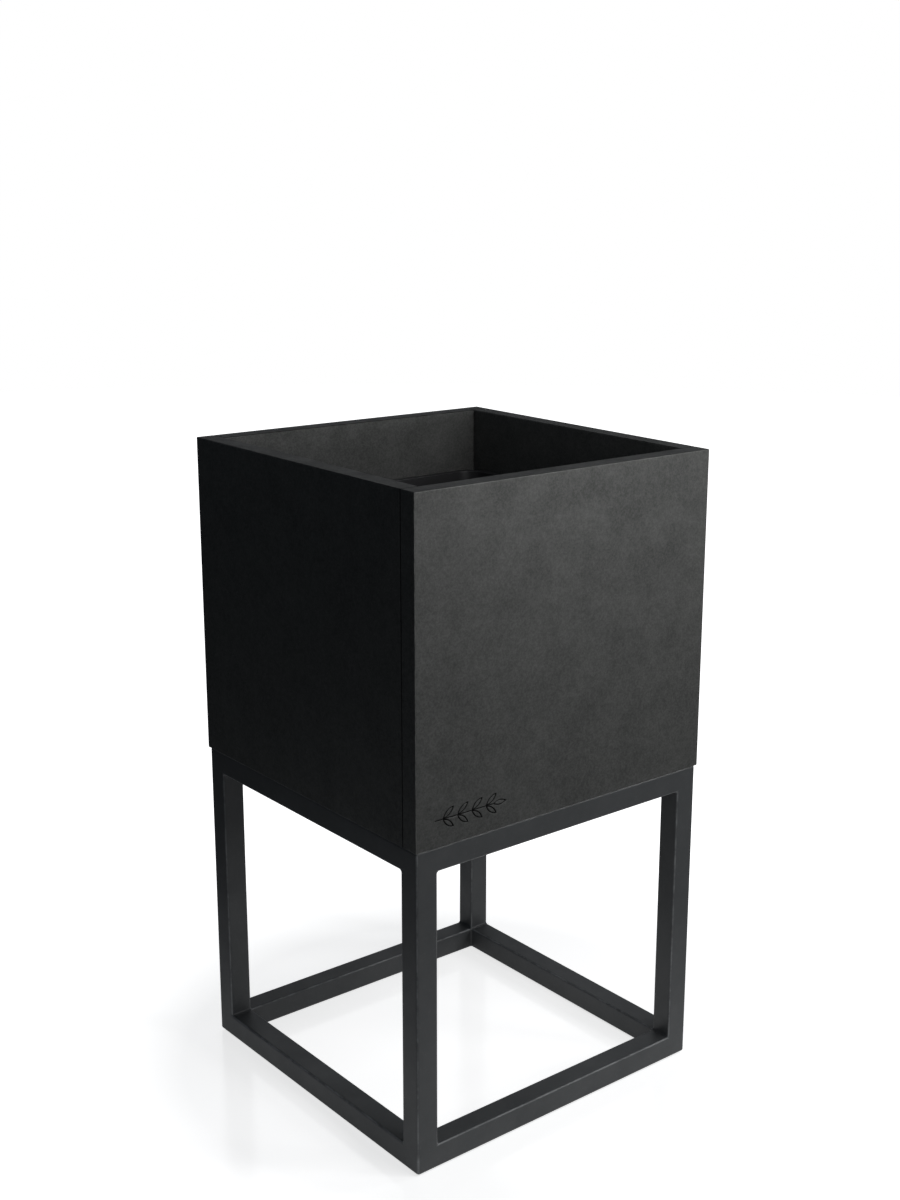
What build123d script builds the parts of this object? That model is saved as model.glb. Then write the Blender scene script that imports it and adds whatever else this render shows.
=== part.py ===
"""Raised planter: a square box of dyed board on a welded square-tube stand, with a lift-out liner.

All sizes are in millimetres. The origin is on the floor under the middle of the planter, +Z is up
and the engraved front faces -Y, so left is -X and right is +X. Every separate piece of the real
object is written to its own STEP file in parts/; identical fasteners share one file.
"""

import os
from math import radians, tan

from build123d import *

# The box: three overall sizes and the board it is cut from.
box_width = 330.0
box_depth = 330.0
box_height = 300.0
panel_thickness = 18.0
panel_edge_chamfer = 0.4

# The stand: two welded rings of square tube with four legs between them.
stand_height = 300.0
box_overhang = 1.5
tube_size = 22.0
tube_wall = 1.5
tube_corner_radius = 2.0
weld_fillet_radius = 2.0
weld_fill_depth = 1.2

# Thin pads stuck under the corners of the lower ring.
pad_diameter = 14.0
pad_thickness = 1.5
pad_edge_chamfer = 0.3

# Corner plates welded inside the upper ring, and the screws that hold the box down through them.
tab_leg = 45.0
tab_tip_cut = 5.0
tab_thickness = 3.0
tab_hole_inset = 14.0
tab_hole_clearance = 0.5
screw_shank_diameter = 4.0
screw_length_under_head = 16.0
screw_tip_length = 3.0
screw_head_diameter = 9.0
screw_head_height = 2.8
screw_head_edge_radius = 1.4
screw_recess_length = 4.6
screw_recess_width = 1.1
screw_recess_depth = 1.6
screw_pilot_clearance = 0.1
screw_pilot_end_gap = 1.0

# Glued beech dowels that join the boards.
dowel_diameter = 8.0
dowel_length = 32.0
dowel_depth_in_face = 12.0
dowel_chamfer = 0.8
dowel_clearance = 0.1
dowel_end_gap = 1.0
dowel_height_shares = (1 / 6, 1 / 2, 5 / 6)
bottom_dowel_share = 0.25

# The liner: a thin moulded tub that lifts out of the box.
liner_rim_drop = 60.0
liner_side_clearance = 2.0
liner_rim_width = 5.0
liner_wall = 2.0
liner_floor = 2.5
liner_draft_angle = 1.5
liner_corner_radius = 14.0
liner_base_fillet = 4.0

# A small sprig of leaves engraved at the lower left of the front panel.
mark_length = 76.0
mark_side_margin = 20.0
mark_base_margin = 24.0
mark_depth = 0.8
mark_line_width = 1.2
mark_leaf_length = 15.0
mark_leaf_width = 5.2
mark_leaf_angle = 38.0
mark_leaf_pairs = 4

# Sizes that follow from the ones above.
stand_width = box_width - 2 * box_overhang
stand_depth = box_depth - 2 * box_overhang
lower_ring_top = pad_thickness + tube_size
upper_ring_base = stand_height - tube_size
inner_width = box_width - 2 * panel_thickness
inner_depth = box_depth - 2 * panel_thickness
corner_x = stand_width / 2
corner_y = stand_depth / 2


def tube_section(hollow):
    """Square tube section with rounded corners, centred on the origin."""
    outside = RectangleRounded(tube_size, tube_size, tube_corner_radius)
    if not hollow:
        return outside
    bore = tube_size - 2 * tube_wall
    return outside - RectangleRounded(bore, bore, tube_corner_radius - tube_wall)


def side_rail(width, depth, ring_base, hollow):
    """Left side of a ring so wide and deep: a tube along Y, mitred, then dressed round at its corners."""
    outer_x, outer_y = -width / 2, depth / 2
    past_x, past_y = outer_x - tube_size, outer_y + tube_size
    inner_x, inner_y = outer_x + tube_size, outer_y - tube_size
    middle = Location((0, 0, ring_base + tube_size / 2))
    section = Plane.XZ * tube_section(hollow)
    tube = extrude(middle * Location((outer_x + tube_size / 2, 0, 0)) * section, past_y, both=True)
    mitres = make_face(
        Polyline((past_x, past_y), (past_x, -past_y), (inner_x, -inner_y), (inner_x, inner_y), close=True)
    )
    rail = tube & extrude(middle * mitres, tube_size, both=True)
    radius = tube_corner_radius
    for side in (-1, 1):
        square = Location((outer_x + radius / 2, side * (outer_y - radius / 2))) * Rectangle(radius, radius)
        waste = square - Location((outer_x + radius, side * (outer_y - radius))) * Circle(radius)
        rail -= extrude(middle * waste, tube_size, both=True)
    return rail


def left_rail(ring_base, hollow=True):
    """Left side of a ring."""
    return side_rail(stand_width, stand_depth, ring_base, hollow)


def front_rail(ring_base, hollow=True):
    """Front side of a ring, which is a left side turned a quarter about the stand's middle."""
    return Rotation(0, 0, 90) * side_rail(stand_depth, stand_width, ring_base, hollow)


def weld_fillet():
    """Concave weld along +Y with its square corner on the Z axis, filling towards +X and +Z."""
    radius = weld_fillet_radius
    flat_length = tube_size - 2 * tube_corner_radius
    block = Location((radius / 2, radius / 2)) * Rectangle(radius, radius)
    section = block - Location((radius, radius)) * Circle(radius)
    return extrude(Plane.XZ * section, flat_length / 2, both=True)


def front_left_leg():
    """Leg between the rings, with the ground-flush weld metal that closes its two ends."""
    centre_x = tube_size / 2 - corner_x
    centre_y = tube_size / 2 - corner_y
    length = upper_ring_base - lower_ring_top + 2 * weld_fill_depth
    base = Location((centre_x, centre_y, lower_ring_top - weld_fill_depth))
    leg = extrude(base * tube_section(hollow=True), length)
    for ring_base in (pad_thickness, upper_ring_base):
        leg -= front_rail(ring_base, hollow=False)
        leg -= left_rail(ring_base, hollow=False)
    for height, flip in ((lower_ring_top, False), (upper_ring_base, True)):
        bead = mirror(weld_fillet(), Plane.XY) if flip else weld_fillet()
        leg += Location((tube_size - corner_x, centre_y, height)) * bead
        leg += Location((centre_x, tube_size - corner_y, height)) * (Rotation(0, 0, 90) * bead)
    return leg


def front_left_tab():
    """Three-cornered plate in the inner corner of the upper ring, level with its top."""
    tips = ((tab_leg, 0), (tab_leg, tab_tip_cut), (tab_tip_cut, tab_leg), (0, tab_leg))
    plate = make_face(Polyline((0, 0), *tips, close=True))
    hole_radius = screw_shank_diameter / 2 + tab_hole_clearance
    plate -= Location((tab_hole_inset, tab_hole_inset)) * Circle(hole_radius)
    corner = Location((tube_size - corner_x, tube_size - corner_y, stand_height - tab_thickness))
    return corner * extrude(plate, tab_thickness)


def front_left_pad():
    """Round pad under the lower ring's corner."""
    pad = extrude(Circle(pad_diameter / 2), pad_thickness)
    pad = chamfer(pad.edges().group_by(Axis.Z)[0], pad_edge_chamfer)
    return Location((tube_size / 2 - corner_x, tube_size / 2 - corner_y)) * pad


def screw_places():
    """Points under the upper ring's corner plates where the screw heads seat."""
    inset = tube_size + tab_hole_inset
    height = stand_height - tab_thickness
    return [
        Location((side_x * (corner_x - inset), side_y * (corner_y - inset), height))
        for side_x in (-1, 1)
        for side_y in (-1, 1)
    ]


def screw():
    """Pan-head wood screw pointing up from the origin, with its head below."""
    head = extrude(Circle(screw_head_diameter / 2), -screw_head_height)
    head = fillet(head.edges().group_by(Axis.Z)[0], screw_head_edge_radius)
    for turn in (0, 90):
        slot = Box(screw_recess_length, screw_recess_width, screw_recess_depth)
        middle = Location((0, 0, screw_recess_depth / 2 - screw_head_height), (0, 0, turn))
        head -= middle * slot
    straight = screw_length_under_head - screw_tip_length
    shank = extrude(Circle(screw_shank_diameter / 2), straight)
    tip = Cone(
        screw_shank_diameter / 2,
        screw_recess_width / 2,
        screw_tip_length,
        align=(Align.CENTER, Align.CENTER, Align.MIN),
    )
    return head + shank + Location((0, 0, straight)) * tip


def pilot_hole():
    """Hole that a screw's shank fills, measured from the seat of its head."""
    radius = screw_shank_diameter / 2 + screw_pilot_clearance
    return extrude(Circle(radius), screw_length_under_head + screw_pilot_end_gap)


def facing(x, y, z, direction):
    """Place on a joint between two boards, with its own Z axis along the given direction."""
    return Plane(origin=(x, y, z), z_dir=direction).location


def dowel_heights():
    return [stand_height + share * box_height for share in dowel_height_shares]


def front_dowel_places():
    """Joint between the front panel's back face and the front ends of the side panels."""
    board_x = (box_width - panel_thickness) / 2
    joint_y = panel_thickness - box_depth / 2
    return [facing(side * board_x, joint_y, z, (0, 1, 0)) for side in (-1, 1) for z in dowel_heights()]


def back_dowel_places():
    """Joint between the side panels' inner faces and the ends of the back panel."""
    board_y = (box_depth - panel_thickness) / 2
    return [
        facing(side * inner_width / 2, board_y, z, (-side, 0, 0))
        for side in (-1, 1)
        for z in dowel_heights()
    ]


def bottom_dowel_places():
    """Joint between the four walls' inner faces and the edges of the bottom panel."""
    middle_z = stand_height + panel_thickness / 2
    places = []
    for side in (-1, 1):
        for share in (-bottom_dowel_share, bottom_dowel_share):
            places.append(facing(side * inner_width / 2, share * inner_depth, middle_z, (-side, 0, 0)))
            places.append(facing(share * inner_width, side * inner_depth / 2, middle_z, (0, -side, 0)))
    return places


def dowel():
    """Dowel along Z, the origin where it crosses the joint, its short end in the board's face."""
    pin = extrude(Circle(dowel_diameter / 2), dowel_length)
    pin = chamfer(pin.edges().filter_by(GeomType.CIRCLE), dowel_chamfer)
    return Location((0, 0, -dowel_depth_in_face)) * pin


def dowel_hole():
    """Both halves of a dowel's drilled hole, with room for glue at the ends."""
    drilled = extrude(Circle(dowel_diameter / 2 + dowel_clearance), dowel_length + 2 * dowel_end_gap)
    return Location((0, 0, -dowel_depth_in_face - dowel_end_gap)) * drilled


def board(width, depth, height, middle):
    """Board with every edge lightly broken, centred on the given point."""
    blank = chamfer(Box(width, depth, height).edges(), panel_edge_chamfer)
    return Location(middle) * blank


def drill(panel, places, hole):
    for place in places:
        panel -= place * hole
    return panel


def front_panel():
    """Full-width front board that covers the side boards' ends, engraved at the lower left."""
    middle = (0, (panel_thickness - box_depth) / 2, stand_height + box_height / 2)
    panel = board(box_width, panel_thickness, box_height, middle)
    panel = drill(panel, front_dowel_places() + bottom_dowel_places(), dowel_hole())
    return panel - sprig_mark()


def side_panel(side):
    """Side board that runs from the front board to the very back; side is -1 left or +1 right."""
    length = box_depth - panel_thickness
    middle = (side * (box_width - panel_thickness) / 2, panel_thickness / 2, stand_height + box_height / 2)
    panel = board(panel_thickness, length, box_height, middle)
    return drill(panel, front_dowel_places() + back_dowel_places() + bottom_dowel_places(), dowel_hole())


def back_panel():
    """Back board held between the side boards."""
    middle = (0, (box_depth - panel_thickness) / 2, stand_height + box_height / 2)
    panel = board(inner_width, panel_thickness, box_height, middle)
    return drill(panel, back_dowel_places() + bottom_dowel_places(), dowel_hole())


def bottom_panel():
    """Bottom board set between the four walls, level with their lower edges."""
    middle = (0, 0, stand_height + panel_thickness / 2)
    panel = board(inner_width, inner_depth, panel_thickness, middle)
    panel = drill(panel, bottom_dowel_places(), dowel_hole())
    return drill(panel, screw_places(), pilot_hole())


def leaf_outline():
    """Outline of a pointed leaf along +X, its stalk end on the origin: two equal circles crossing."""
    half_length = mark_leaf_length / 2
    half_width = mark_leaf_width / 2
    radius = (half_length**2 + half_width**2) / (2 * half_width)
    rise = radius - half_width
    above = Location((half_length, rise))
    below = Location((half_length, -rise))
    inner_radius = radius - mark_line_width
    inside = (above * Circle(inner_radius)) & (below * Circle(inner_radius))
    return ((above * Circle(radius)) & (below * Circle(radius))) - inside


def sprig_mark():
    """Cutter for the engraved sprig: a level stem with pairs of leaves and one at its end."""
    stem_length = mark_length - mark_leaf_length
    mark = Location((stem_length / 2, 0)) * SlotOverall(stem_length + mark_line_width, mark_line_width)
    for pair in range(mark_leaf_pairs):
        along = stem_length * (pair + 0.5) / mark_leaf_pairs
        for turn in (-mark_leaf_angle, mark_leaf_angle):
            mark += Location((along, 0), (0, 0, turn)) * leaf_outline()
    mark += Location((stem_length, 0)) * leaf_outline()
    corner = Plane(
        origin=(mark_side_margin - box_width / 2, -box_depth / 2, stand_height + mark_base_margin),
        x_dir=(1, 0, 0),
        z_dir=(0, -1, 0),
    )
    return extrude(corner * mark, -mark_depth)


def liner():
    """Drafted tub standing on the bottom board, with a flat rim that clears the walls."""
    height = box_height - panel_thickness - liner_rim_drop
    rim_width = inner_width - 2 * liner_side_clearance
    rim_depth = inner_depth - 2 * liner_side_clearance
    spread = tan(radians(liner_draft_angle))
    base_width = rim_width - 2 * liner_rim_width - 2 * height * spread
    base_depth = rim_depth - 2 * liner_rim_width - 2 * height * spread
    outer_radius = liner_corner_radius
    base_plan = RectangleRounded(base_width, base_depth, outer_radius)
    outside = extrude(base_plan, height, taper=-liner_draft_angle)
    outside = fillet(outside.edges().group_by(Axis.Z)[0], liner_base_fillet)
    rim_corner_radius = outer_radius + liner_rim_width + height * spread
    rim_plate = RectangleRounded(rim_width, rim_depth, rim_corner_radius)
    rim = extrude(Location((0, 0, height - liner_wall)) * rim_plate, liner_wall)
    floor_spread = liner_floor * spread
    hollow_width = base_width - 2 * liner_wall + 2 * floor_spread
    hollow_depth = base_depth - 2 * liner_wall + 2 * floor_spread
    hollow_plan = RectangleRounded(hollow_width, hollow_depth, outer_radius - liner_wall + floor_spread)
    hollow = extrude(hollow_plan, height - liner_floor, taper=-liner_draft_angle)
    hollow = fillet(hollow.edges().group_by(Axis.Z)[0], liner_base_fillet - liner_wall / 2)
    tub = outside + rim - Location((0, 0, liner_floor)) * hollow
    return Location((0, 0, stand_height + panel_thickness)) * tub


def four_corners(name, front_left):
    """The front left piece and its three mirrored copies, by node name."""
    front_right = mirror(front_left, Plane.YZ)
    return {
        f"{name}_front_left": front_left,
        f"{name}_front_right": front_right,
        f"{name}_back_left": mirror(front_left, Plane.XZ),
        f"{name}_back_right": mirror(front_right, Plane.XZ),
    }


def ring(name, ring_base):
    """The four mitred rails of one ring, by node name."""
    front = front_rail(ring_base)
    left = left_rail(ring_base)
    return {
        f"{name}_rail_front": front,
        f"{name}_rail_back": mirror(front, Plane.XZ),
        f"{name}_rail_left": left,
        f"{name}_rail_right": mirror(left, Plane.YZ),
    }


def group(piece, places):
    """Separate copies of one small piece at each place."""
    return Compound([place * piece for place in places])


nodes = {}
nodes.update(ring("bottom", pad_thickness))
nodes.update(ring("top", upper_ring_base))
nodes.update(four_corners("leg", front_left_leg()))
nodes.update(four_corners("tab", front_left_tab()))
nodes.update(four_corners("pad", front_left_pad()))
nodes["front_panel"] = front_panel()
nodes["back_panel"] = back_panel()
nodes["left_panel"] = side_panel(-1)
nodes["right_panel"] = side_panel(1)
nodes["bottom_panel"] = bottom_panel()
nodes["box_screws"] = group(screw(), screw_places())
nodes["front_dowels"] = group(dowel(), front_dowel_places())
nodes["back_dowels"] = group(dowel(), back_dowel_places())
nodes["bottom_dowels"] = group(dowel(), bottom_dowel_places())
nodes["liner"] = liner()

os.makedirs("parts", exist_ok=True)
for node_name, shape in nodes.items():
    export_step(shape, f"parts/{node_name}.step")
print(len(nodes), "nodes written")
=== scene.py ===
# %% [markdown]
# # A raised planter in black board and welded steel
#
# The object is a square box of dyed-through black fibreboard that stands on an open cube of
# 22 mm steel tube. The CAD model has already settled every size, so this lesson only gives the
# object its looks: eased board edges, an engraved sprig, a stand that reads as one welded piece,
# and the finishes. Every shape is a formula worked out on a whole numpy grid at once.
#
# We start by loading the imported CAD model. It stays where it is, and everything new is placed from
# its measured boxes.

# %% Load the frame
import math

import bpy
import numpy as np
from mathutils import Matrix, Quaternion, Vector


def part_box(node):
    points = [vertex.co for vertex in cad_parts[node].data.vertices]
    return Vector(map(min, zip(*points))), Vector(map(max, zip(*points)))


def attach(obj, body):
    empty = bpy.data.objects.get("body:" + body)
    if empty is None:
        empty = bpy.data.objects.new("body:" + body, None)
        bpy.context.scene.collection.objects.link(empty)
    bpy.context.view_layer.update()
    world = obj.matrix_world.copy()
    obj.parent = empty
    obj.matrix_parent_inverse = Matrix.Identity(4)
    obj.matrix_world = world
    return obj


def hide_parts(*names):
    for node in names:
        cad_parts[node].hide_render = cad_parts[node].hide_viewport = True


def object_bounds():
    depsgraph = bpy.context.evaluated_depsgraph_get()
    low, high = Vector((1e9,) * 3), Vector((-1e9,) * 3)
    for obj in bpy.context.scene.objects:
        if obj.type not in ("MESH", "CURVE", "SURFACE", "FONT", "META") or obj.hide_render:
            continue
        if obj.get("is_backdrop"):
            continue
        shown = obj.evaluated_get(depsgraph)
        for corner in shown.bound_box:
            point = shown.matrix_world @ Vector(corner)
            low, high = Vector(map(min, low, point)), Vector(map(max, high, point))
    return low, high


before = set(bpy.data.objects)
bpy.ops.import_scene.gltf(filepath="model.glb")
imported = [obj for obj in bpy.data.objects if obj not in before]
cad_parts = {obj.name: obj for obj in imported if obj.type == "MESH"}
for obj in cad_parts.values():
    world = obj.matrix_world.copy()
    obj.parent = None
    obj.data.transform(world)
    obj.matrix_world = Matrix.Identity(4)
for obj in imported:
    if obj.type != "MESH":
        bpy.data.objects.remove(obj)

cad_low, cad_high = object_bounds()
print("CAD box, mm:", [round(1000 * v, 1) for v in (*cad_low, *cad_high)])

# %% [markdown]
# ## Camera
#
# The camera looks down about fifteen degrees on the box's near left corner, from a metre and a half
# away. The lens is a little long, which keeps the upright edges nearly parallel. It is held a touch
# askew, and the picture is framed a little to one side of where the lens points. Setting the camera
# first lets every later choice be judged from the same place.

# %% Camera
camera_place = Vector((-0.9127, -1.1602, 0.8451))
camera_direction = Vector((0.6312, 0.7336, -0.2518))
camera_roll = math.radians(0.64)
camera_lens = 49.44
camera_shift = (-0.0585, -0.0066)

camera_data = bpy.data.cameras.new("planter_camera")
camera_data.lens = camera_lens
camera_data.shift_x, camera_data.shift_y = camera_shift
camera = bpy.data.objects.new("planter_camera", camera_data)
camera.location = camera_place
aim = camera_direction.to_track_quat("-Z", "Y") @ Quaternion((0, 0, 1), camera_roll)
camera.rotation_euler = aim.to_euler()
bpy.context.scene.collection.objects.link(camera)
bpy.context.scene.camera = camera
print("camera height, mm:", round(1000 * camera_place.z))

# %% [markdown]
# ## Turning arrays into pieces
#
# Every new piece takes the same road: an array of points, an array of faces, and a few values per
# point that the materials can read, such as how near a point lies to an edge. One function makes
# the mesh. A second one gives the piece its body, its finish and the CAD nodes it stands for. Three
# more answer questions that come up on every piece: which points make a quad, how an open end is
# closed, and how far a point lies round an edge.

# %% Mesh and placing helpers
def make_piece(name, points, faces, **values):
    """Mesh object from whole arrays. Each keyword is a number per point, kept as an attribute."""
    mesh = bpy.data.meshes.new(name)
    mesh.from_pydata(points.tolist(), [], faces)
    for key, numbers in values.items():
        layer = mesh.attributes.new(key, "FLOAT", "POINT")
        layer.data.foreach_set("value", np.asarray(numbers, np.float32))
    mesh.shade_smooth()
    piece = bpy.data.objects.new(name, mesh)
    bpy.context.scene.collection.objects.link(piece)
    return piece


def place_piece(piece, body, slot, material, *nodes):
    """The piece rides on a body, wears a material and stands for the CAD nodes named."""
    piece.data.materials.append(material)
    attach(piece, body)
    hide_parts(*nodes)
    print(piece.name, "has", len(piece.data.polygons), "faces")


def grid_faces(rows, columns, wrap_rows=False, wrap_columns=False, first=0, flip=False):
    """Quads of a grid of points counted row by row: each joins a point to its next row and column."""
    row = np.arange(rows if wrap_rows else rows - 1)
    column = np.arange(columns if wrap_columns else columns - 1)
    row, column = np.meshgrid(row, column, indexing="ij")
    next_row = (row + 1) % rows
    next_column = (column + 1) % columns
    corners = [
        row * columns + column,
        next_row * columns + column,
        next_row * columns + next_column,
        row * columns + next_column,
    ]
    quads = first + np.stack(corners, axis=-1).reshape(-1, 4)
    return quads[:, ::-1] if flip else quads


def end_fan(first, count, middle, flip):
    """Triangles that close a ring of points on one point in its middle."""
    here = first + np.arange(count)
    after = first + (np.arange(count) + 1) % count
    fan = np.stack([here, after, np.full(count, middle)], axis=-1)
    return (fan[:, ::-1] if flip else fan).tolist()


edge_turn = 0.25


def edge_share(outward):
    """How far a point lies round an edge: (1 - largest part of its direction) / edge_turn, 0 to 1."""
    return np.clip((1 - np.abs(outward).max(axis=1)) / edge_turn, 0, 1)


# %% [markdown]
# ## Small building blocks for materials
#
# A node tree reads better when each node is one call: its kind, then the sockets it is fed from.
# Three effects turn up in several finishes, so each is a node group with named inputs: cloudy
# variation, a fine pebbled relief, and wear along edges, which on the board and the stand also
# marks where a painted highlight goes. A group only hands out values; the shader itself always
# stays in the material.

# %% Node helpers
def add_node(tree, kind, feeds=None, **settings):
    """New node. Settings are its own properties; feeds are its inputs, linked if given a socket."""
    node = tree.nodes.new(kind)
    for key, value in settings.items():
        setattr(node, key, value)
    for key, value in (feeds or {}).items():
        if isinstance(value, bpy.types.NodeSocket):
            tree.links.new(value, node.inputs[key])
        else:
            node.inputs[key].default_value = value
    return node


def mix_colours(tree, factor, first, second):
    """Colour between two others."""
    node = add_node(tree, "ShaderNodeMix", {"Factor": factor}, data_type="RGBA")
    for socket, value in ((node.inputs[6], first), (node.inputs[7], second)):
        if isinstance(value, bpy.types.NodeSocket):
            tree.links.new(value, socket)
        else:
            socket.default_value = value
    return node.outputs[2]


def mathematics(tree, operation, first, second=0.0, clamp=False):
    """Result of one arithmetic step on two numbers or sockets."""
    node = add_node(tree, "ShaderNodeMath", {0: first, 1: second}, operation=operation)
    node.use_clamp = clamp
    return node.outputs[0]


def share_of(tree, value, amount):
    """Value times a fixed amount."""
    return mathematics(tree, "MULTIPLY", value, amount)


def remap(tree, value, low, high, new_low, new_high):
    """Value moved from one range to another, and held inside it."""
    feeds = {"Value": value, "From Min": low, "From Max": high, "To Min": new_low, "To Max": new_high}
    return add_node(tree, "ShaderNodeMapRange", feeds).outputs["Result"]


def new_group(name, inputs, outputs):
    """Empty node group with named inputs and outputs. Returns its tree and its two end nodes."""
    tree = bpy.data.node_groups.new(name, "ShaderNodeTree")
    for key, (kind, value) in inputs.items():
        socket = tree.interface.new_socket(key, in_out="INPUT", socket_type=kind)
        if value is not None:
            socket.default_value = value
    for key in outputs:
        tree.interface.new_socket(key, in_out="OUTPUT", socket_type="NodeSocketFloat")
    return tree, tree.nodes.new("NodeGroupInput"), tree.nodes.new("NodeGroupOutput")


def noise(tree, vector, scale, detail=2.0, roughness=0.5):
    """Fractal noise value between 0 and 1 at so many lumps per metre."""
    feeds = {"Vector": vector, "Scale": scale, "Detail": detail, "Roughness": roughness}
    return add_node(tree, "ShaderNodeTexNoise", feeds).outputs["Fac"]


# %% Cloudy variation group
cloudy, cloudy_in, cloudy_out = new_group(
    "cloudy_variation",
    {"Vector": ("NodeSocketVector", None), "Patch Scale": ("NodeSocketFloat", 20.0)},
    ["Cloud"],
)
broad = noise(cloudy, cloudy_in.outputs["Vector"], cloudy_in.outputs["Patch Scale"], 3.0, 0.6)
finer_scale = share_of(cloudy, cloudy_in.outputs["Patch Scale"], 5.3)
finer = noise(cloudy, cloudy_in.outputs["Vector"], finer_scale, 2.0, 0.5)
layered = mathematics(cloudy, "ADD", share_of(cloudy, broad, 0.65), share_of(cloudy, finer, 0.35))
cloudy.links.new(remap(cloudy, layered, 0.35, 0.65, 0.0, 1.0), cloudy_out.inputs["Cloud"])

# %% Pebbled relief group
pebbled, pebbled_in, pebbled_out = new_group(
    "pebbled_relief",
    {"Vector": ("NodeSocketVector", None), "Grain Scale": ("NodeSocketFloat", 900.0)},
    ["Height"],
)
grain = noise(pebbled, pebbled_in.outputs["Vector"], pebbled_in.outputs["Grain Scale"], 2.0, 0.6)
swell_scale = share_of(pebbled, pebbled_in.outputs["Grain Scale"], 0.22)
swell = noise(pebbled, pebbled_in.outputs["Vector"], swell_scale, 1.0, 0.5)
relief = mathematics(pebbled, "ADD", share_of(pebbled, grain, 0.6), share_of(pebbled, swell, 0.4))
pebbled.links.new(relief, pebbled_out.inputs["Height"])

# %% Edge wear and painted highlight group
wear_and_highlight, wear_and_highlight_in, wear_and_highlight_out = new_group(
    "edge_wear_and_highlight",
    {
        "Vector": ("NodeSocketVector", None),
        "Edge": ("NodeSocketFloat", 0.0),
        "Amount": ("NodeSocketFloat", 0.5),
    },
    ["Mask"],
)
# Patchy mask along edges: real wear, and on the board and the stand also a painted highlight.
edge_patch_noise = noise(wear_and_highlight, wear_and_highlight_in.outputs["Vector"], 60.0, 4.0, 0.65)
patches = remap(wear_and_highlight, edge_patch_noise, 0.40, 0.60, 0.35, 1.0)
rubbed_and_highlighted = mathematics(wear_and_highlight, "MULTIPLY", patches, wear_and_highlight_in.outputs["Edge"])
mask = mathematics(wear_and_highlight, "MULTIPLY", rubbed_and_highlighted, wear_and_highlight_in.outputs["Amount"], True)
wear_and_highlight.links.new(mask, wear_and_highlight_out.inputs["Mask"])
print("node groups:", [tree.name for tree in bpy.data.node_groups])


# %% Start of every material
def start_material(name, roughness=0.5):
    """Material with one Principled shader. Returns it, its tree, the shader and object coordinates."""
    material = bpy.data.materials.new(name)
    material.use_nodes = True
    tree = material.node_tree
    shader = next(node for node in tree.nodes if node.type == "BSDF_PRINCIPLED")
    shader.inputs["Roughness"].default_value = roughness
    coordinates = tree.nodes.new("ShaderNodeTexCoord").outputs["Object"]
    return material, tree, shader, coordinates


def grouped(tree, group, feeds):
    """First output of a node group placed in a material and fed by the sockets given."""
    return add_node(tree, "ShaderNodeGroup", feeds, node_tree=group).outputs[0]


def point_value(tree, name):
    """Number per point that the piece carries, or 0 where it carries none."""
    return add_node(tree, "ShaderNodeAttribute", attribute_name=name).outputs["Fac"]


def give_relief(tree, shader, height, strength, distance):
    """Bump from a height between 0 and 1, its full depth given in metres."""
    feeds = {"Height": height, "Strength": strength, "Distance": distance}
    bump = add_node(tree, "ShaderNodeBump", feeds)
    tree.links.new(bump.outputs["Normal"], shader.inputs["Normal"])


# %% [markdown]
# ## The black board
#
# The walls are fibreboard dyed black all through, so no pale core shows where it is sawn. Under soft
# light it isn't even: the wax takes up in clouds a few centimetres across, a grain of a millimetre
# or two runs over the whole face, and pressed fibres leave short pale flecks. The flecks are drawn
# out a little upwards. Eased edges are paler: partly rubbed, partly a painted highlight. The upward
# faces are darker and duller: partly sawn edges that take the wax badly, partly painted shade on
# the tops. The engraving is cut below the waxed skin, so it is darker still.

# %% Black board material
board_dark = (0.030, 0.031, 0.0295, 1)
board_pale = (0.079, 0.080, 0.0765, 1)
board_fleck = (0.12, 0.12, 0.115, 1)
board_pore = (0.018, 0.018, 0.018, 1)
# Dark top colour: partly the duller sawn edge, partly painted shade on the upward faces.
board_sawn_and_shade = (0.010, 0.010, 0.0095, 1)
# Pale edge colour: partly rubbed wear, partly a painted highlight along the eased edges.
board_rubbed_and_highlight = (0.30, 0.30, 0.29, 1)
board_engraved = (0.002, 0.002, 0.002, 1)


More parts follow.
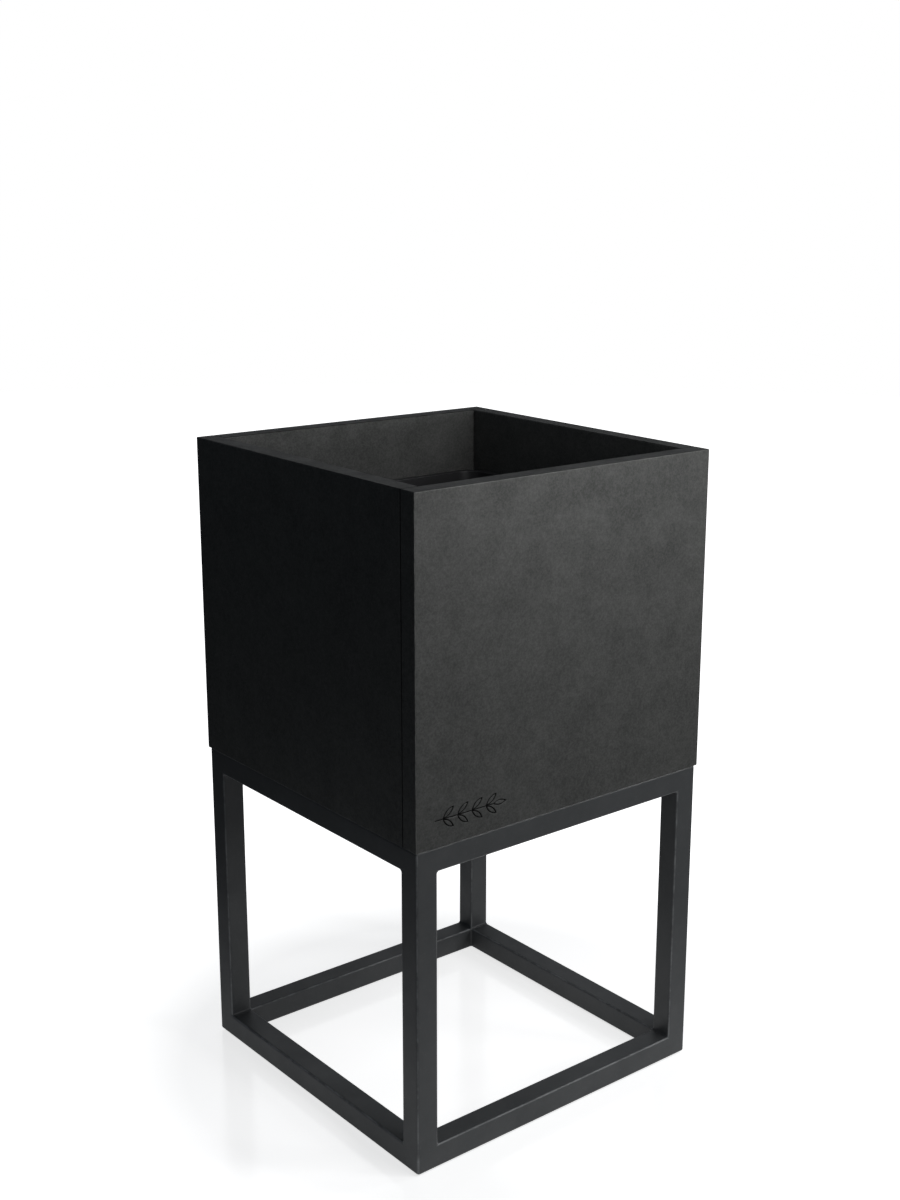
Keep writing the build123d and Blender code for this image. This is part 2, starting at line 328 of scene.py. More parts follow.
def black_board_material():
    """Tone from clouds and grain, then flecks, pores, sawn tops and painted shade, rubbed edges and
    painted highlight, the cut.
    """
    material, tree, shader, place = start_material("waxed_black_board")
    cloud = grouped(tree, cloudy, {"Vector": place, "Patch Scale": 34.0})
    squeeze = {"Vector": place, "Scale": (1.0, 1.0, 0.35)}
    stretched = add_node(tree, "ShaderNodeMapping", squeeze).outputs[0]
    fibre = noise(tree, stretched, 1400.0, 3.0, 0.7)
    fleck = remap(tree, fibre, 0.60, 0.78, 0.0, 1.0)
    pore = remap(tree, noise(tree, place, 2300.0, 1.0, 0.5), 0.28, 0.40, 1.0, 0.0)
    grain = remap(tree, noise(tree, place, 560.0, 2.0, 0.7), 0.36, 0.64, 0.0, 0.56)
    tone = mathematics(tree, "ADD", share_of(tree, cloud, 0.44), grain)
    skin = mix_colours(tree, tone, board_dark, board_pale)
    flecked = mix_colours(tree, share_of(tree, fleck, 0.35), skin, board_fleck)
    pored = mix_colours(tree, share_of(tree, pore, 0.45), flecked, board_pore)
    sawn_and_shaded_top = point_value(tree, "sawn_and_shaded_top")
    # Upward faces darkened: sawn edges that take the wax badly, and painted shade on the tops.
    dulled_and_shaded = mix_colours(tree, share_of(tree, sawn_and_shaded_top, 0.5), pored, board_sawn_and_shade)
    sharp = mathematics(tree, "SUBTRACT", point_value(tree, "edge"), sawn_and_shaded_top, True)
    edge = grouped(tree, wear_and_highlight, {"Vector": place, "Edge": sharp, "Amount": 1.0})
    # Eased edges made paler: rubbed wear and a painted highlight.
    worn_and_highlighted = mix_colours(tree, edge, dulled_and_shaded, board_rubbed_and_highlight)
    cut = point_value(tree, "cut")
    tree.links.new(mix_colours(tree, cut, worn_and_highlighted, board_engraved), shader.inputs["Base Color"])
    waxed = remap(tree, cloud, 0.0, 1.0, 0.62, 0.50)
    tree.links.new(mathematics(tree, "MAXIMUM", waxed, cut), shader.inputs["Roughness"])
    height = mathematics(tree, "ADD", fibre, share_of(tree, cloud, 0.3))
    give_relief(tree, shader, height, 0.35, 0.00012)
    dull = mathematics(tree, "MAXIMUM", cut, share_of(tree, sawn_and_shaded_top, 0.6))
    sheen = remap(tree, dull, 0.0, 1.0, 0.42, 0.02)
    tree.links.new(sheen, shader.inputs["Specular IOR Level"])
    return material


black_board = black_board_material()

# %% [markdown]
# ## The powder coat
#
# Powder coat is sprayed dry and melted on, so it follows the steel but rounds every edge and keeps
# a faint pebbled skin. It is charcoal more than black. Its sheen varies slightly where the oven ran
# hotter, and the rounded edges polish up with handling. Their much paler colour is partly that wear
# and partly a painted highlight along every rounded edge of the tube.

# %% Powder coat material
coat_dark = (0.047, 0.050, 0.052, 1)
coat_pale = (0.062, 0.065, 0.067, 1)
coat_speck = (0.11, 0.114, 0.118, 1)
# Pale edge colour: partly wear, partly a painted highlight on the rounded tube edges.
coat_rubbed_and_highlight = (0.24, 0.245, 0.25, 1)


def powder_coat_material():
    """Charcoal with pale specks on the pebbles; edges glossier and paler: wear and a painted highlight.
    """
    material, tree, shader, place = start_material("charcoal_powder_coat")
    cloud = grouped(tree, cloudy, {"Vector": place, "Patch Scale": 9.0})
    height = grouped(tree, pebbled, {"Vector": place, "Grain Scale": 1100.0})
    skin = mix_colours(tree, cloud, coat_dark, coat_pale)
    speck = remap(tree, height, 0.56, 0.72, 0.0, 0.35)
    speckled = mix_colours(tree, speck, skin, coat_speck)
    # Rounded edges made paler: rubbed wear and a painted highlight.
    edge = grouped(tree, wear_and_highlight, {"Vector": place, "Edge": point_value(tree, "edge"), "Amount": 1.0})
    tree.links.new(mix_colours(tree, edge, speckled, coat_rubbed_and_highlight), shader.inputs["Base Color"])
    sheen = remap(tree, cloud, 0.0, 1.0, 0.50, 0.42)
    polished = mathematics(tree, "SUBTRACT", sheen, share_of(tree, edge, 0.1))
    tree.links.new(polished, shader.inputs["Roughness"])
    give_relief(tree, shader, height, 0.4, 0.00010)
    return material


black_powder_coat = powder_coat_material()

# %% [markdown]
# ## The lesser finishes
#
# The liner is moulded plastic with a fine spark-eroded texture. The screws are bright zinc, drawn
# over with a faint blue and yellow passivation. The dowels are beech, hidden in the joints. The pads
# are matt rubber. They show little, but each gets its own grain and gloss.

# %% Liner, screw, dowel and pad materials
def liner_material():
    """Nearly black plastic with a fine texture, paler along the lip where it is handled."""
    material, tree, shader, place = start_material("moulded_liner")
    cloud = grouped(tree, cloudy, {"Vector": place, "Patch Scale": 12.0})
    height = grouped(tree, pebbled, {"Vector": place, "Grain Scale": 1500.0})
    edge = grouped(tree, wear_and_highlight, {"Vector": place, "Edge": point_value(tree, "edge"), "Amount": 0.4})
    skin = mix_colours(tree, cloud, (0.012, 0.012, 0.013, 1), (0.017, 0.017, 0.018, 1))
    tree.links.new(mix_colours(tree, edge, skin, (0.05, 0.05, 0.052, 1)), shader.inputs["Base Color"])
    tree.links.new(remap(tree, cloud, 0.0, 1.0, 0.46, 0.38), shader.inputs["Roughness"])
    give_relief(tree, shader, height, 0.3, 0.00008)
    return material


def zinc_material():
    """Metal between a bluish and a yellowish grey, its gloss following the same clouds."""
    material, tree, shader, place = start_material("bright_zinc")
    cloud = grouped(tree, cloudy, {"Vector": place, "Patch Scale": 260.0})
    colour = mix_colours(tree, cloud, (0.56, 0.58, 0.62, 1), (0.66, 0.64, 0.56, 1))
    tree.links.new(colour, shader.inputs["Base Color"])
    tree.links.new(remap(tree, cloud, 0.0, 1.0, 0.24, 0.38), shader.inputs["Roughness"])
    shader.inputs["Metallic"].default_value = 1.0
    give_relief(tree, shader, cloud, 0.15, 0.00004)
    return material


def beech_material():
    """Pale brown wood with short darker flecks."""
    material, tree, shader, place = start_material("turned_beech")
    cloud = grouped(tree, cloudy, {"Vector": place, "Patch Scale": 60.0})
    fleck = remap(tree, noise(tree, place, 900.0, 2.0, 0.6), 0.60, 0.72, 0.0, 0.6)
    wood = mix_colours(tree, cloud, (0.55, 0.36, 0.20, 1), (0.68, 0.48, 0.29, 1))
    tree.links.new(mix_colours(tree, fleck, wood, (0.35, 0.20, 0.10, 1)), shader.inputs["Base Color"])
    tree.links.new(remap(tree, cloud, 0.0, 1.0, 0.62, 0.54), shader.inputs["Roughness"])
    give_relief(tree, shader, fleck, 0.2, 0.00008)
    return material


def rubber_material():
    """Very dark and matt, with a coarse pebbled skin."""
    material, tree, shader, place = start_material("matt_rubber")
    height = grouped(tree, pebbled, {"Vector": place, "Grain Scale": 1800.0})
    cloud = grouped(tree, cloudy, {"Vector": place, "Patch Scale": 120.0})
    colour = mix_colours(tree, cloud, (0.014, 0.014, 0.014, 1), (0.024, 0.024, 0.023, 1))
    tree.links.new(colour, shader.inputs["Base Color"])
    tree.links.new(remap(tree, cloud, 0.0, 1.0, 0.78, 0.68), shader.inputs["Roughness"])
    give_relief(tree, shader, height, 0.3, 0.00008)
    return material


liner_plastic = liner_material()
zinc = zinc_material()
beech = beech_material()
pad_rubber = rubber_material()
print("materials:", [material.name for material in bpy.data.materials])

# %% [markdown]
# ## Boards with eased edges
#
# A board is a box whose edges have been touched with sandpaper. We lay a grid over the plain box,
# close together near the edges, and pull each point onto the surface that lies one radius outside a
# smaller inner box. Flat parts stay where they are, edges turn into quarter cylinders and corners
# into parts of a sphere. A holding line beside each edge keeps the flats looking flat.

# %% Eased box
board_edge_radius = 0.0009
edge_steps = 4
holding_line = 1.8


def eased_lines(low, high, radius, between=()):
    """Grid lines along one side: equal angles round each eased edge, a holding line, then any more."""
    angles = np.linspace(math.pi / 4, 0.0, edge_steps + 1)
    near = np.append(radius * (1 - np.tan(angles)), holding_line * radius)
    return np.concatenate([low + near, np.asarray(between, float), high - near[::-1]])


def eased_box(low, high, radius, between=((), (), ())):
    """Box with rounded edges: point = inner + radius * (p - inner) / |p - inner|.

    Here p runs over a grid on the plain box and inner is p held inside the box shrunk by the radius.
    Returns the points, the quads, the outward directions and an edge value from 0 flat to 1.
    """
    low, high = np.array(low), np.array(high)
    lines = [eased_lines(low[axis], high[axis], radius, between[axis]) for axis in range(3)]
    sheets, quads, count = [], [], 0
    for axis in range(3):
        across, along = (axis + 1) % 3, (axis + 2) % 3
        first, second = np.meshgrid(lines[across], lines[along], indexing="ij")
        for level, flip in ((low[axis], True), (high[axis], False)):
            sheet = np.empty(first.shape + (3,))
            sheet[..., axis] = level
            sheet[..., across] = first
            sheet[..., along] = second
            sheets.append(sheet.reshape(-1, 3))
            quads.append(grid_faces(*first.shape, first=count, flip=flip))
            count += first.size
    plain, shared = np.unique(np.round(np.concatenate(sheets), 7), axis=0, return_inverse=True)
    inner = np.clip(plain, low + radius, high - radius)
    outward = plain - inner
    outward /= np.linalg.norm(outward, axis=1, keepdims=True)
    points = inner + radius * outward
    return points, shared.reshape(-1)[np.concatenate(quads)], outward, edge_share(outward)


# %% [markdown]
# ## The engraved sprig
#
# At the lower left of the front board a router has drawn a small sprig: a level stem, four pairs of
# leaves and one at the tip. A leaf is where two equal circles cross. The distance from a point to
# that outline is the larger of its distances to the two circles, and the cutter's groove is a
# rounded channel wherever that distance falls inside the line's width.

# %% Depth of the engraving
mark_length = 0.076
mark_side_margin = 0.020
mark_base_margin = 0.024
mark_depth = 0.0008
mark_line_width = 0.0012
mark_leaf_length = 0.015
mark_leaf_width = 0.0052
mark_leaf_angle = math.radians(38)
mark_leaf_pairs = 4
mark_half_height = 0.0125
mark_grid_step = 0.00025
mark_grid_margin = 0.002
joint_reach = 0.002


def channel(distance):
    """Depth of a round-bottomed groove whose line lies between minus one width and zero."""
    half = mark_line_width / 2
    return mark_depth * np.sqrt(np.clip(1 - ((distance + half) / half) ** 2, 0, 1))


def leaf_distance(x, y):
    """Signed distance to a pointed leaf along +X: the larger of the distances to its two circles."""
    half_length, half_width = mark_leaf_length / 2, mark_leaf_width / 2
    radius = (half_length**2 + half_width**2) / (2 * half_width)
    rise = radius - half_width
    upper = np.hypot(x - half_length, y - rise) - radius
    lower = np.hypot(x - half_length, y + rise) - radius
    return np.maximum(upper, lower)


def sprig_depth(x, y):
    """Depth of the sprig at points measured from the foot of its stem: the deepest of its lines."""
    stem_length = mark_length - mark_leaf_length
    past_end = x - np.clip(x, 0, stem_length)
    depth = channel(np.hypot(past_end, y) - mark_line_width / 2)
    roots = [(stem_length, 0.0)]
    for pair in range(mark_leaf_pairs):
        along = stem_length * (pair + 0.5) / mark_leaf_pairs
        roots += [(along, mark_leaf_angle), (along, -mark_leaf_angle)]
    for along, turn in roots:
        turned_x = (x - along) * math.cos(turn) + y * math.sin(turn)
        turned_y = y * math.cos(turn) - (x - along) * math.sin(turn)
        depth = np.maximum(depth, channel(leaf_distance(turned_x, turned_y)))
    return depth


# %% Front board, engraved
# Faces turned upwards past the start get the darker sawn colour, partly painted shade.
sawn_shade_start = 0.35
sawn_shade_range = 0.5
faces_forward = -0.999


def upward(outward):
    """Share of the sawn, painted-shade top in each point: (height of its direction - start) / range."""
    return np.clip((outward[:, 2] - sawn_shade_start) / sawn_shade_range, 0, 1)


def front_board():
    """Eased box whose front face sinks by the sprig's depth, on a fine grid around the mark."""
    low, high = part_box("front_panel")
    mark_x = low.x + mark_side_margin
    mark_z = low.z + mark_base_margin
    fine_start = mark_x - mark_grid_margin
    fine_x = np.arange(fine_start, mark_x + mark_length + mark_grid_margin, mark_grid_step)
    fine_z = np.arange(mark_z - mark_half_height, mark_z + mark_half_height, mark_grid_step)
    points, quads, outward, edge = eased_box(low, high, board_edge_radius, (fine_x, (), fine_z))
    on_front = outward[:, 1] < faces_forward
    depth = np.where(on_front, sprig_depth(points[:, 0] - mark_x, points[:, 2] - mark_z), 0.0)
    points[:, 1] += depth
    print("deepest cut, mm:", round(1000 * depth.max(), 2))
    joint = edge * (points[:, 1] > high.y - joint_reach)
    cut = np.maximum(depth / mark_depth, joint)
    # The sawn value darkens the upward faces: sawn edge and painted shade.
    masks = {"edge": edge - joint, "cut": cut, "sawn_and_shaded_top": upward(outward)}
    return make_piece("front_board", points, quads.tolist(), **masks)


place_piece(front_board(), "planter", "black_board", black_board, "front_panel")

# %% The other boards
for side in ("back", "left", "right", "bottom"):
    board_low, board_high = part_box(f"{side}_panel")
    board_points, board_quads, facing, board_edge = eased_box(board_low, board_high, board_edge_radius)
    board_joint = board_edge * (board_points[:, 1] < board_low.y + joint_reach)
    # The sawn value darkens the upward faces: sawn edge and painted shade.
    masks = {"edge": board_edge - board_joint, "cut": board_joint, "sawn_and_shaded_top": upward(facing)}
    board = make_piece(f"{side}_board", board_points, board_quads.tolist(), **masks)
    place_piece(board, "planter", "black_board", black_board, f"{side}_panel")

# %% [markdown]
# ## A ring of square tube
#
# Each ring of the stand is four mitred tubes whose welds were ground flush, and after coating it
# reads as one piece. So the ring is made as one surface: the outline of a square tube with rounded
# corners is carried round a rectangle. Every point of the outline keeps its own distance inside the
# outer face, so the corners come out as true mitres, softened by a small radius. The liner is
# carried round its rectangle by the same function.

# %% Path round a rectangle
quarters = ((1, 1), (-1, 1), (-1, -1), (1, -1))


def round_path(reach_x, reach_y, radius, height, steps, shares):
    """Rows of points once round a rectangle with rounded corners, one column for each section point.

    A corner is (reach - radius) + radius * (cos a, sin a) in its own quarter, and the straight to
    the next corner is divided in the shares given.
    """
    turn = np.linspace(0, math.pi / 2, steps + 1)[:, None]
    corners = []
    for quarter, (sign_x, sign_y) in enumerate(quarters):
        angle = quarter * math.pi / 2 + turn
        x = sign_x * (reach_x - radius) + radius * np.cos(angle)
        y = sign_y * (reach_y - radius) + radius * np.sin(angle)
        corners.append(np.stack([x, y, np.broadcast_to(height, x.shape)], axis=-1))
    rows = []
    for quarter in range(4):
        start, end = corners[quarter][-1], corners[(quarter + 1) % 4][0]
        rows += [corners[quarter], start + np.array(shares)[:, None, None] * (end - start)]
    return np.concatenate(rows)


# %% Tube outline
rail_low, rail_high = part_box("top_rail_front")
tube_side = rail_high.z - rail_low.z
tube_corner_radius = 0.0020
corner_steps = 6


def square_outline(side, radius, flat_shares):
    """Closed outline of a rounded square about its centre, one corner arc then one flat at a time.

    An arc point is its corner's centre plus radius * (cos a, sin a); flat points divide the straight
    between two arcs in the shares given. Returns the points and their outward directions.
    """
    turn = np.linspace(0, math.pi / 2, corner_steps + 1)
    points, outward = [], []
    for quarter in range(4):
        start = quarter * math.pi / 2
        reach = (side / 2 - radius) * math.sqrt(2)
        centre = reach * np.array([math.cos(start + math.pi / 4), math.sin(start + math.pi / 4)])
        direction = np.stack([np.cos(start + turn), np.sin(start + turn)], axis=-1)
        arc = centre + radius * direction
        next_angle = start + 3 * math.pi / 4
        next_centre = reach * np.array([math.cos(next_angle), math.sin(next_angle)])
        flat_end = next_centre + radius * direction[-1]
        share = np.asarray(flat_shares)[:, None]
        points += [arc, arc[-1] + share * (flat_end - arc[-1])]
        outward += [direction, np.repeat(direction[-1:], len(flat_shares), axis=0)]
    return np.concatenate(points), np.concatenate(outward)


# %% Ring surface
ring_flat_shares = (0.04, 0.5, 0.96)
ring_run_shares = (0.01, 0.25, 0.5, 0.75, 0.99)


def ring_piece(name, ring_low, ring_high):
    """Tube outline carried round a rectangle with rounded corners.

    At distance n inside the outer face the path is the outer rectangle shrunk by n on all sides,
    its corners turned with one small radius. The upright corner is an edge too: sin(2 a) round it.
    """
    outline, facing = square_outline(tube_side, tube_corner_radius, ring_flat_shares)
    inside = tube_side / 2 - outline[:, 0]
    height = (ring_low.z + ring_high.z) / 2 + outline[:, 1]
    centre = (ring_low + ring_high) / 2
    half = (ring_high - ring_low) / 2
    reach_x, reach_y = half.x - inside, half.y - inside
    grid = round_path(reach_x, reach_y, tube_corner_radius, height, corner_steps, ring_run_shares)
    grid += np.array([centre.x, centre.y, 0])
    turn = np.linspace(0, math.pi / 2, corner_steps + 1)
    upright = np.tile(np.append(np.sin(2 * turn), np.zeros(len(ring_run_shares))), 4)
    # This edge value marks where the coat is painted paler: wear and a painted highlight.
    edge = np.maximum(edge_share(facing), upright[:, None] * np.clip(facing[:, 0], 0, 1))
    faces = grid_faces(len(grid), len(outline), True, True)
    return make_piece(name, grid.reshape(-1, 3), faces.tolist(), edge=edge.ravel())


rings = {}
for level in ("bottom", "top"):
    members = [f"{level}_rail_{side}" for side in ("front", "back", "left", "right")]
    boxes = [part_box(member) for member in members]
    ring_low = Vector([min(box[0][axis] for box in boxes) for axis in range(3)])
    ring_high = Vector([max(box[1][axis] for box in boxes) for axis in range(3)])
    rings[level] = (ring_low, ring_high)
    ring = ring_piece(f"{level}_ring", ring_low, ring_high)
    place_piece(ring, "planter", "black_powder_coat", black_powder_coat, *members)
print("ring outside, mm:", round(1000 * (rings["top"][1].x - rings["top"][0].x), 1))

# %% [markdown]
# ## Legs with their welds
#
# A leg is the same tube standing on end. On its two inner sides a bead of weld fills the corner with
# each ring: a hollow quarter circle that swells the tube towards its ends. On the outer sides the
# weld was ground flush, so the leg simply runs on over the ring's rounded edge. Real beads are laid
# as overlapping drops, so the swelling has a slight ripple along its length.

# %% Leg surface
weld_radius = 0.0021
weld_steps = 6
ripple_length = 0.0021
ripple_depth = 0.07
leg_flat_shares = np.concatenate([[0.03], np.linspace(0.1, 0.9, 13), [0.97]])
holding_gap = 0.00005
buried_weld = 0.3 * weld_radius


def leg_piece(name, sign_x, sign_y):
    """Tube outline carried up between the rings and pushed out along its inner sides by the weld.

    At height h above a ring the weld is r - sqrt(r^2 - (r - h)^2) wide. It is sampled by the angle a
    at which width = r (1 - sin a) and height = r (1 - cos a). The leg's ends are buried in the rings.
    """
    outline, facing = square_outline(tube_side, tube_corner_radius, leg_flat_shares)
    lower_top = rings["bottom"][1].z
    upper_base = rings["top"][0].z
    angle = np.linspace(0, math.pi / 2, weld_steps + 1)
    rise = weld_radius * (1 - np.cos(angle))
    width = weld_radius * (1 - np.sin(angle))
    buried = [-tube_corner_radius, holding_gap - tube_corner_radius]
    low_heights = lower_top + np.concatenate([buried, rise, [3 * weld_radius]])
    low_widths = np.concatenate([[buried_weld] * 2, width, [0.0]])
    middle = np.linspace(lower_top, upper_base, 7)[1:-1]
    heights = np.concatenate([low_heights, middle, lower_top + upper_base - low_heights[::-1]])
    widths = np.concatenate([low_widths, np.zeros(len(middle)), low_widths[::-1]])
    inner_x = np.clip(facing[:, 0], 0, 1)
    inner_y = np.clip(facing[:, 1], 0, 1)
    ripple = 1 + ripple_depth * np.sin(2 * math.pi * (outline[:, 0] - outline[:, 1]) / ripple_length)
    push = widths[:, None] * ripple
    local_x = outline[:, 0] + push * inner_x
    local_y = outline[:, 1] + push * inner_y
    corner_x, corner_y = rings["top"][0].x + tube_side / 2, rings["top"][0].y + tube_side / 2
    x = -sign_x * (corner_x + local_x)
    y = -sign_y * (corner_y + local_y)
    z = np.broadcast_to(heights[:, None], local_x.shape)
    points = np.stack([x, y, z], axis=-1)
    flip = sign_x * sign_y > 0
    faces = grid_faces(len(heights), len(outline), False, True, flip=flip).tolist()
    ends = np.array([[0, 0, heights[0]], [0, 0, heights[-1]]])
    ends[:, 0] = points[0, :, 0].mean()
    ends[:, 1] = points[0, :, 1].mean()
    faces += end_fan(0, len(outline), points[..., 0].size, flip)
    faces += end_fan(len(outline) * (len(heights) - 1), len(outline), points[..., 0].size + 1, not flip)
    # This edge value marks where the coat is painted paler: wear and a painted highlight.
    edge = np.append(np.tile(edge_share(facing), len(heights)), [0, 0])
    points = np.concatenate([points.reshape(-1, 3), ends])
    return make_piece(name, points, faces, edge=edge)


for depth_name, sign_y in (("front", -1), ("back", 1)):
    for width_name, sign_x in (("left", -1), ("right", 1)):
        corner = f"{depth_name}_{width_name}"
        leg = leg_piece(f"leg_tube_{corner}", sign_x, sign_y)
        place_piece(leg, "planter", "black_powder_coat", black_powder_coat, f"leg_{corner}")

# %% [markdown]
# ## The lift-out liner
#
# The liner is a thin moulded tub. Its section is one closed line: from the middle of the inner
# floor, round the inner fillet, up the leaning wall, over the soft lip, back under the flat rim and
# down outside to the middle of the base. Each point of that line is carried round a rounded
# rectangle that shrinks as the point moves inwards, until both ends close on a single point.

# %% Liner section
liner_low, liner_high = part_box("liner")
rim_width = 0.005
liner_wall = 0.002
liner_floor = 0.0025
liner_lean = math.tan(math.radians(1.5))
lip_radius = 0.0008
inside_round = 0.003
outside_round = 0.004
under_round = 0.001
floor_reach_share = 0.96
row_count = 8


def arc(centre_inset, centre_height, radius, start, end, steps=6):
    """Arc in the section plane: centre plus radius * (cos a, sin a), as (inset, height) rows."""
    angle = np.radians(np.linspace(start, end, steps + 1))
    inset = centre_inset + radius * np.cos(angle)
    height = centre_height + radius * np.sin(angle)
    return np.stack([inset, height], axis=-1)


def liner_section():
    """Rows of (distance inside the rim's outer face, height), from the inner floor to the base."""
    top = liner_high.z
    base = liner_low.z
    floor_top = base + liner_floor
    rim_base = top - liner_wall
    inner_base = rim_width + (top - base - liner_floor) * liner_lean + liner_wall
    inner_top = rim_width + liner_wall
    outer_base = rim_width + (top - base) * liner_lean
    half = (liner_high.x - liner_low.x) / 2
    floor_rows = np.linspace(half * floor_reach_share, inner_base + 2 * inside_round, row_count)
    floor = np.stack([floor_rows, np.full(row_count, floor_top)], axis=-1)
    inner_fillet = arc(inner_base + inside_round, floor_top + inside_round, inside_round, 270, 180)
    inner_lip = arc(inner_top - lip_radius, top - lip_radius, lip_radius, 0, 90)
    outer_lip = arc(lip_radius, top - lip_radius, lip_radius, 90, 180)
    under_lip = arc(lip_radius, rim_base + lip_radius, lip_radius, 180, 270)
    under_fillet = arc(rim_width - under_round, rim_base - under_round, under_round, 90, 0)
    outer_fillet = arc(outer_base + outside_round, base + outside_round, outside_round, 180, 270)
    under = np.stack([floor_rows[::-1] + liner_wall, np.full(row_count, base)], axis=-1)
    wall_up = np.linspace(inner_fillet[-1], inner_lip[0], row_count)[1:-1]
    wall_down = np.linspace(under_fillet[-1], outer_fillet[0], row_count)[1:-1]
    parts = [floor, inner_fillet, wall_up, inner_lip, outer_lip, under_lip, under_fillet, wall_down]
    return np.concatenate(parts + [outer_fillet, under])


# %% Liner surface
liner_corner_radius = 0.0248
least_corner_radius = 0.006
widest_corner_share = 0.95
liner_corner_steps = 8
liner_run_shares = (0.02, 0.25, 0.5, 0.75, 0.98)
handled_depth = 0.0012


def liner_piece():
    """Section carried round a rounded rectangle, shrunk by each point's inset, closed at both ends."""
    section = liner_section()
    inset = section[:, 0]
    half = np.array([(liner_high.x - liner_low.x) / 2, (liner_high.y - liner_low.y) / 2])
    reach = half[None, :] - inset[:, None]
    reach_x, reach_y = reach[:, 0], reach[:, 1]
    height = section[:, 1]
    widest = widest_corner_share * reach.min(axis=1)
    radius = np.minimum(np.maximum(liner_corner_radius - inset, least_corner_radius), widest)
    rounded = round_path(reach_x, reach_y, radius, height, liner_corner_steps, liner_run_shares)
    grid = rounded.transpose(1, 0, 2)
    levels, around = grid.shape[:2]
    faces = grid_faces(levels, around, False, True).tolist()
    poles = np.array([[0, 0, height[0]], [0, 0, height[-1]]])
    faces += end_fan(0, around, levels * around, True)
    faces += end_fan((levels - 1) * around, around, levels * around + 1, False)
    near_lip = np.clip(1 - (liner_high.z - height) / handled_depth, 0, 1)
    edge = np.append(np.repeat(near_lip, around), [0, 0])
    return make_piece("liner_tub", np.concatenate([grid.reshape(-1, 3), poles]), faces, edge=edge)


place_piece(liner_piece(), "liner", "liner_plastic", liner_plastic, "liner")

# %% [markdown]
# ## Pads under the corners
#
# The pads are discs of rubber, pressed a little wider at the floor. A profile is turned about an
# upright axis: distance from the axis and height give a grid with the angle, closed on two points.

# %% Turned pads
pad_soft_share = 0.4
pad_base_share = 0.55
pad_top_share = 0.985
pad_centre_share = 0.5
pad_bend_steps = 4
pad_spokes = 40


def pad_piece(name, low, high):
    """Profile turned about the vertical through the pad's middle: (r cos a, r sin a, height)."""
    radius = (high.x - low.x) / 2
    thick = high.z - low.z
    soft = pad_soft_share * thick
    bend = np.linspace(0, math.pi / 2, pad_bend_steps + 1)
    lower = np.stack([radius - soft + soft * np.sin(bend), soft - soft * np.cos(bend)], axis=-1)
    base = [[pad_base_share * radius, 0.0]]
    top = [[pad_top_share * radius, thick], [pad_centre_share * radius, thick]]
    rows = np.concatenate([base, lower, top])
    angle = np.linspace(0, 2 * math.pi, pad_spokes, endpoint=False)
    x = (low.x + high.x) / 2 + rows[:, :1] * np.cos(angle)
    y = (low.y + high.y) / 2 + rows[:, :1] * np.sin(angle)
    z = np.broadcast_to(low.z + rows[:, 1:], x.shape)
    points = np.stack([x, y, z], axis=-1).reshape(-1, 3)
    poles = np.array([[0, 0, low.z], [0, 0, high.z]])
    poles[:, 0] = (low.x + high.x) / 2
    poles[:, 1] = (low.y + high.y) / 2
    faces = grid_faces(len(rows), len(angle), False, True, flip=True).tolist()
    faces += end_fan(0, len(angle), len(points), True)
    faces += end_fan((len(rows) - 1) * len(angle), len(angle), len(points) + 1, False)
    return make_piece(name, np.concatenate([points, poles]), faces)


for corner in ("front_left", "front_right", "back_left", "back_right"):
    pad = pad_piece(f"rubber_pad_{corner}", *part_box(f"pad_{corner}"))
    place_piece(pad, "planter", "pad_rubber", pad_rubber, f"pad_{corner}")

# %% [markdown]
# ## CAD pieces that stay
#
# The corner plates, the screws and the hidden dowels are already the right shape, so they keep
# their CAD meshes and only change their finish.

# %% Finishes for the kept pieces
kept = {node: black_powder_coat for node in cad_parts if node.startswith("tab_")}
kept["box_screws"] = zinc
kept.update({node: beech for node in ("front_dowels", "back_dowels", "bottom_dowels")})
for node, finish in kept.items():
    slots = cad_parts[node].data.materials
    slots.clear()
    slots.append(finish)
print("kept CAD pieces:", sorted(kept))

# %% [markdown]
# ## Floor and light
#
# The floor is a pale, slightly glossy sheet, wide enough to have no visible end, with a soft mirror
# image of the stand in it. The light is a near, soft window just in front of the box, a small fill
# low on the right, a small skylight high on the right, a pale panel behind, and a weak lamp overhead.
# The left of the room is dark, which is what leaves the box's left face almost black.

# %% Floor
floor_radius = 5.0
floor_rings = 24
floor_spokes = 64


def floor_piece():
    """Disc of points r (cos a, sin a), its rings spaced wider outwards: r = floor_radius * share^2."""
    distance = floor_radius * np.linspace(0.02, 1, floor_rings)[:, None] ** 2
    angle = np.linspace(0, 2 * math.pi, floor_spokes, endpoint=False)
    x = distance * np.cos(angle)
    y = distance * np.sin(angle)
    points = np.stack([x, y, np.zeros_like(x)], axis=-1).reshape(-1, 3)
    faces = grid_faces(floor_rings, floor_spokes, False, True).tolist()
    faces += end_fan(0, floor_spokes, len(points), False)
    return make_piece("floor", np.concatenate([points, [[0, 0, 0]]]), faces)


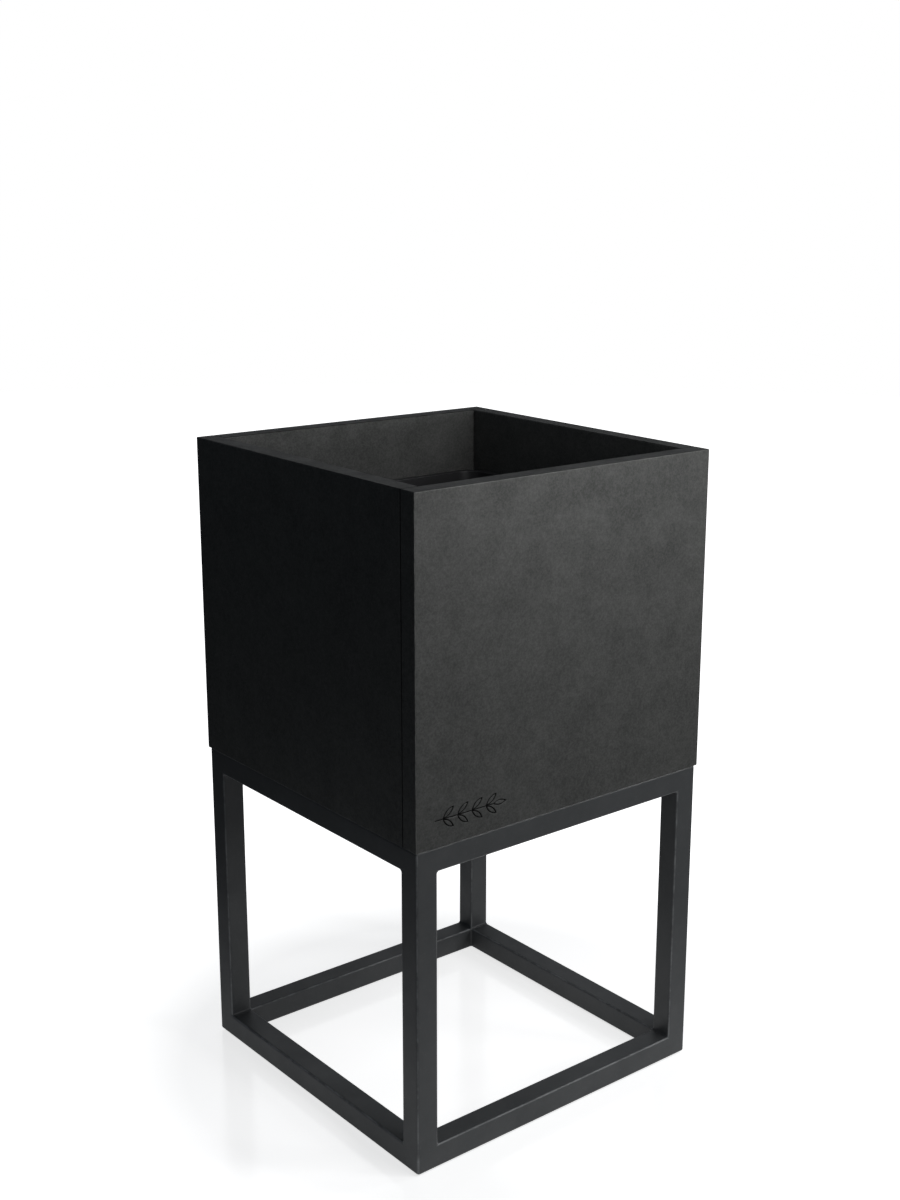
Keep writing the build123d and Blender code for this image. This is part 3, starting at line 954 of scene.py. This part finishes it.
def floor_material():
    """White gloss sheet. Only its camera view is pale all over.

    The camera also sees it shine, a little less under the object. To the object it is a sheet whose
    bounce light fades outwards, with a faint glow of its own that is gone 0.55 m from the middle.
    """
    material, tree, shader, place = start_material("floor_sheet", 0.15)
    distance = add_node(tree, "ShaderNodeVectorMath", {0: place}, operation="LENGTH").outputs["Value"]
    shader.inputs["Base Color"].default_value = (0.83, 0.83, 0.83, 1)
    shader.inputs["Specular IOR Level"].default_value = 0.9
    shader.inputs["Emission Color"].default_value = (1, 1, 1, 1)
    tree.links.new(remap(tree, distance, 0.26, 0.48, 0.72, 1.25), shader.inputs["Emission Strength"])
    dim = add_node(tree, "ShaderNodeBsdfDiffuse")
    bounce = remap(tree, distance, 0.30, 0.95, 0.88, 0.04)
    tree.links.new(bounce, dim.inputs["Color"])
    fading = remap(tree, distance, 0.25, 0.55, 0.25, 0.0)
    glow = add_node(tree, "ShaderNodeEmission", {"Strength": fading})
    both = tree.nodes.new("ShaderNodeAddShader")
    tree.links.new(dim.outputs["BSDF"], both.inputs[0])
    tree.links.new(glow.outputs["Emission"], both.inputs[1])
    path = tree.nodes.new("ShaderNodeLightPath")
    mixed = add_node(tree, "ShaderNodeMixShader", {0: path.outputs["Is Camera Ray"]})
    tree.links.new(both.outputs["Shader"], mixed.inputs[1])
    tree.links.new(shader.outputs["BSDF"], mixed.inputs[2])
    output = next(node for node in tree.nodes if node.type == "OUTPUT_MATERIAL")
    tree.links.new(mixed.outputs[0], output.inputs["Surface"])
    return material


floor = floor_piece()
floor.data.materials.append(floor_material())
floor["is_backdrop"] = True

# %% Room light
def room_light():
    """World that looks white to the camera and gives the object a dim, even light."""
    world = bpy.data.worlds.new("studio")
    bpy.context.scene.world = world
    world.use_nodes = True
    tree = world.node_tree
    tree.nodes.clear()
    dim = add_node(tree, "ShaderNodeBackground", {"Color": (0.82, 0.93, 1.06, 1), "Strength": 0.082})
    white = add_node(tree, "ShaderNodeBackground", {"Color": (1, 1, 1, 1), "Strength": 1.0})
    path = tree.nodes.new("ShaderNodeLightPath")
    mixed = add_node(tree, "ShaderNodeMixShader", {0: path.outputs["Is Camera Ray"]})
    tree.links.new(dim.outputs[0], mixed.inputs[1])
    tree.links.new(white.outputs[0], mixed.inputs[2])
    output = tree.nodes.new("ShaderNodeOutputWorld")
    tree.links.new(mixed.outputs[0], output.inputs["Surface"])


room_light()


# %% Soft lamps
def soft_lamp(name, place, aim, width, height, power):
    """Rectangular soft box at a place, facing a point, unseen by the camera."""
    data = bpy.data.lights.new(name, "AREA")
    data.shape = "RECTANGLE"
    data.size = width
    data.size_y = height
    data.energy = power
    lamp = bpy.data.objects.new(name, data)
    lamp.location = place
    direction = Vector(aim) - Vector(place)
    lamp.rotation_euler = direction.to_track_quat("-Z", "Y").to_euler()
    lamp.visible_camera = False
    bpy.context.scene.collection.objects.link(lamp)
    return lamp


window = soft_lamp("window", (0.12, -0.66, 0.86), (0.08, 0, 0.8), 0.46, 0.4, 3.05)
low_fill = soft_lamp("low_fill", (0.87, -1.14, 0.6), (0, -0.1, 0.25), 0.3, 0.3, 3.7)
panel = soft_lamp("back_panel_light", (1.9, 2.3, 2.1), (0, 0, 0.1), 3.2, 1.2, 6.5)
skylight = soft_lamp("skylight", (1.17, -0.6, 1.4), (0, -0.16, 0.15), 0.3, 0.3, 2.0)
overhead = soft_lamp("overhead", (0.1, 0.2, 2.2), (0, 0, 0), 1.6, 1.6, 1.5)
bpy.context.scene.view_settings.view_transform = "Standard"
print("lamps:", [lamp.name for lamp in (window, low_fill, panel, skylight, overhead)])

# %% Sizes
new_low, new_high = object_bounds()
changes = [abs(a - b) for a, b in zip((*cad_low, *cad_high), (*new_low, *new_high))]
print("largest change, mm:", round(1000 * max(changes), 2))
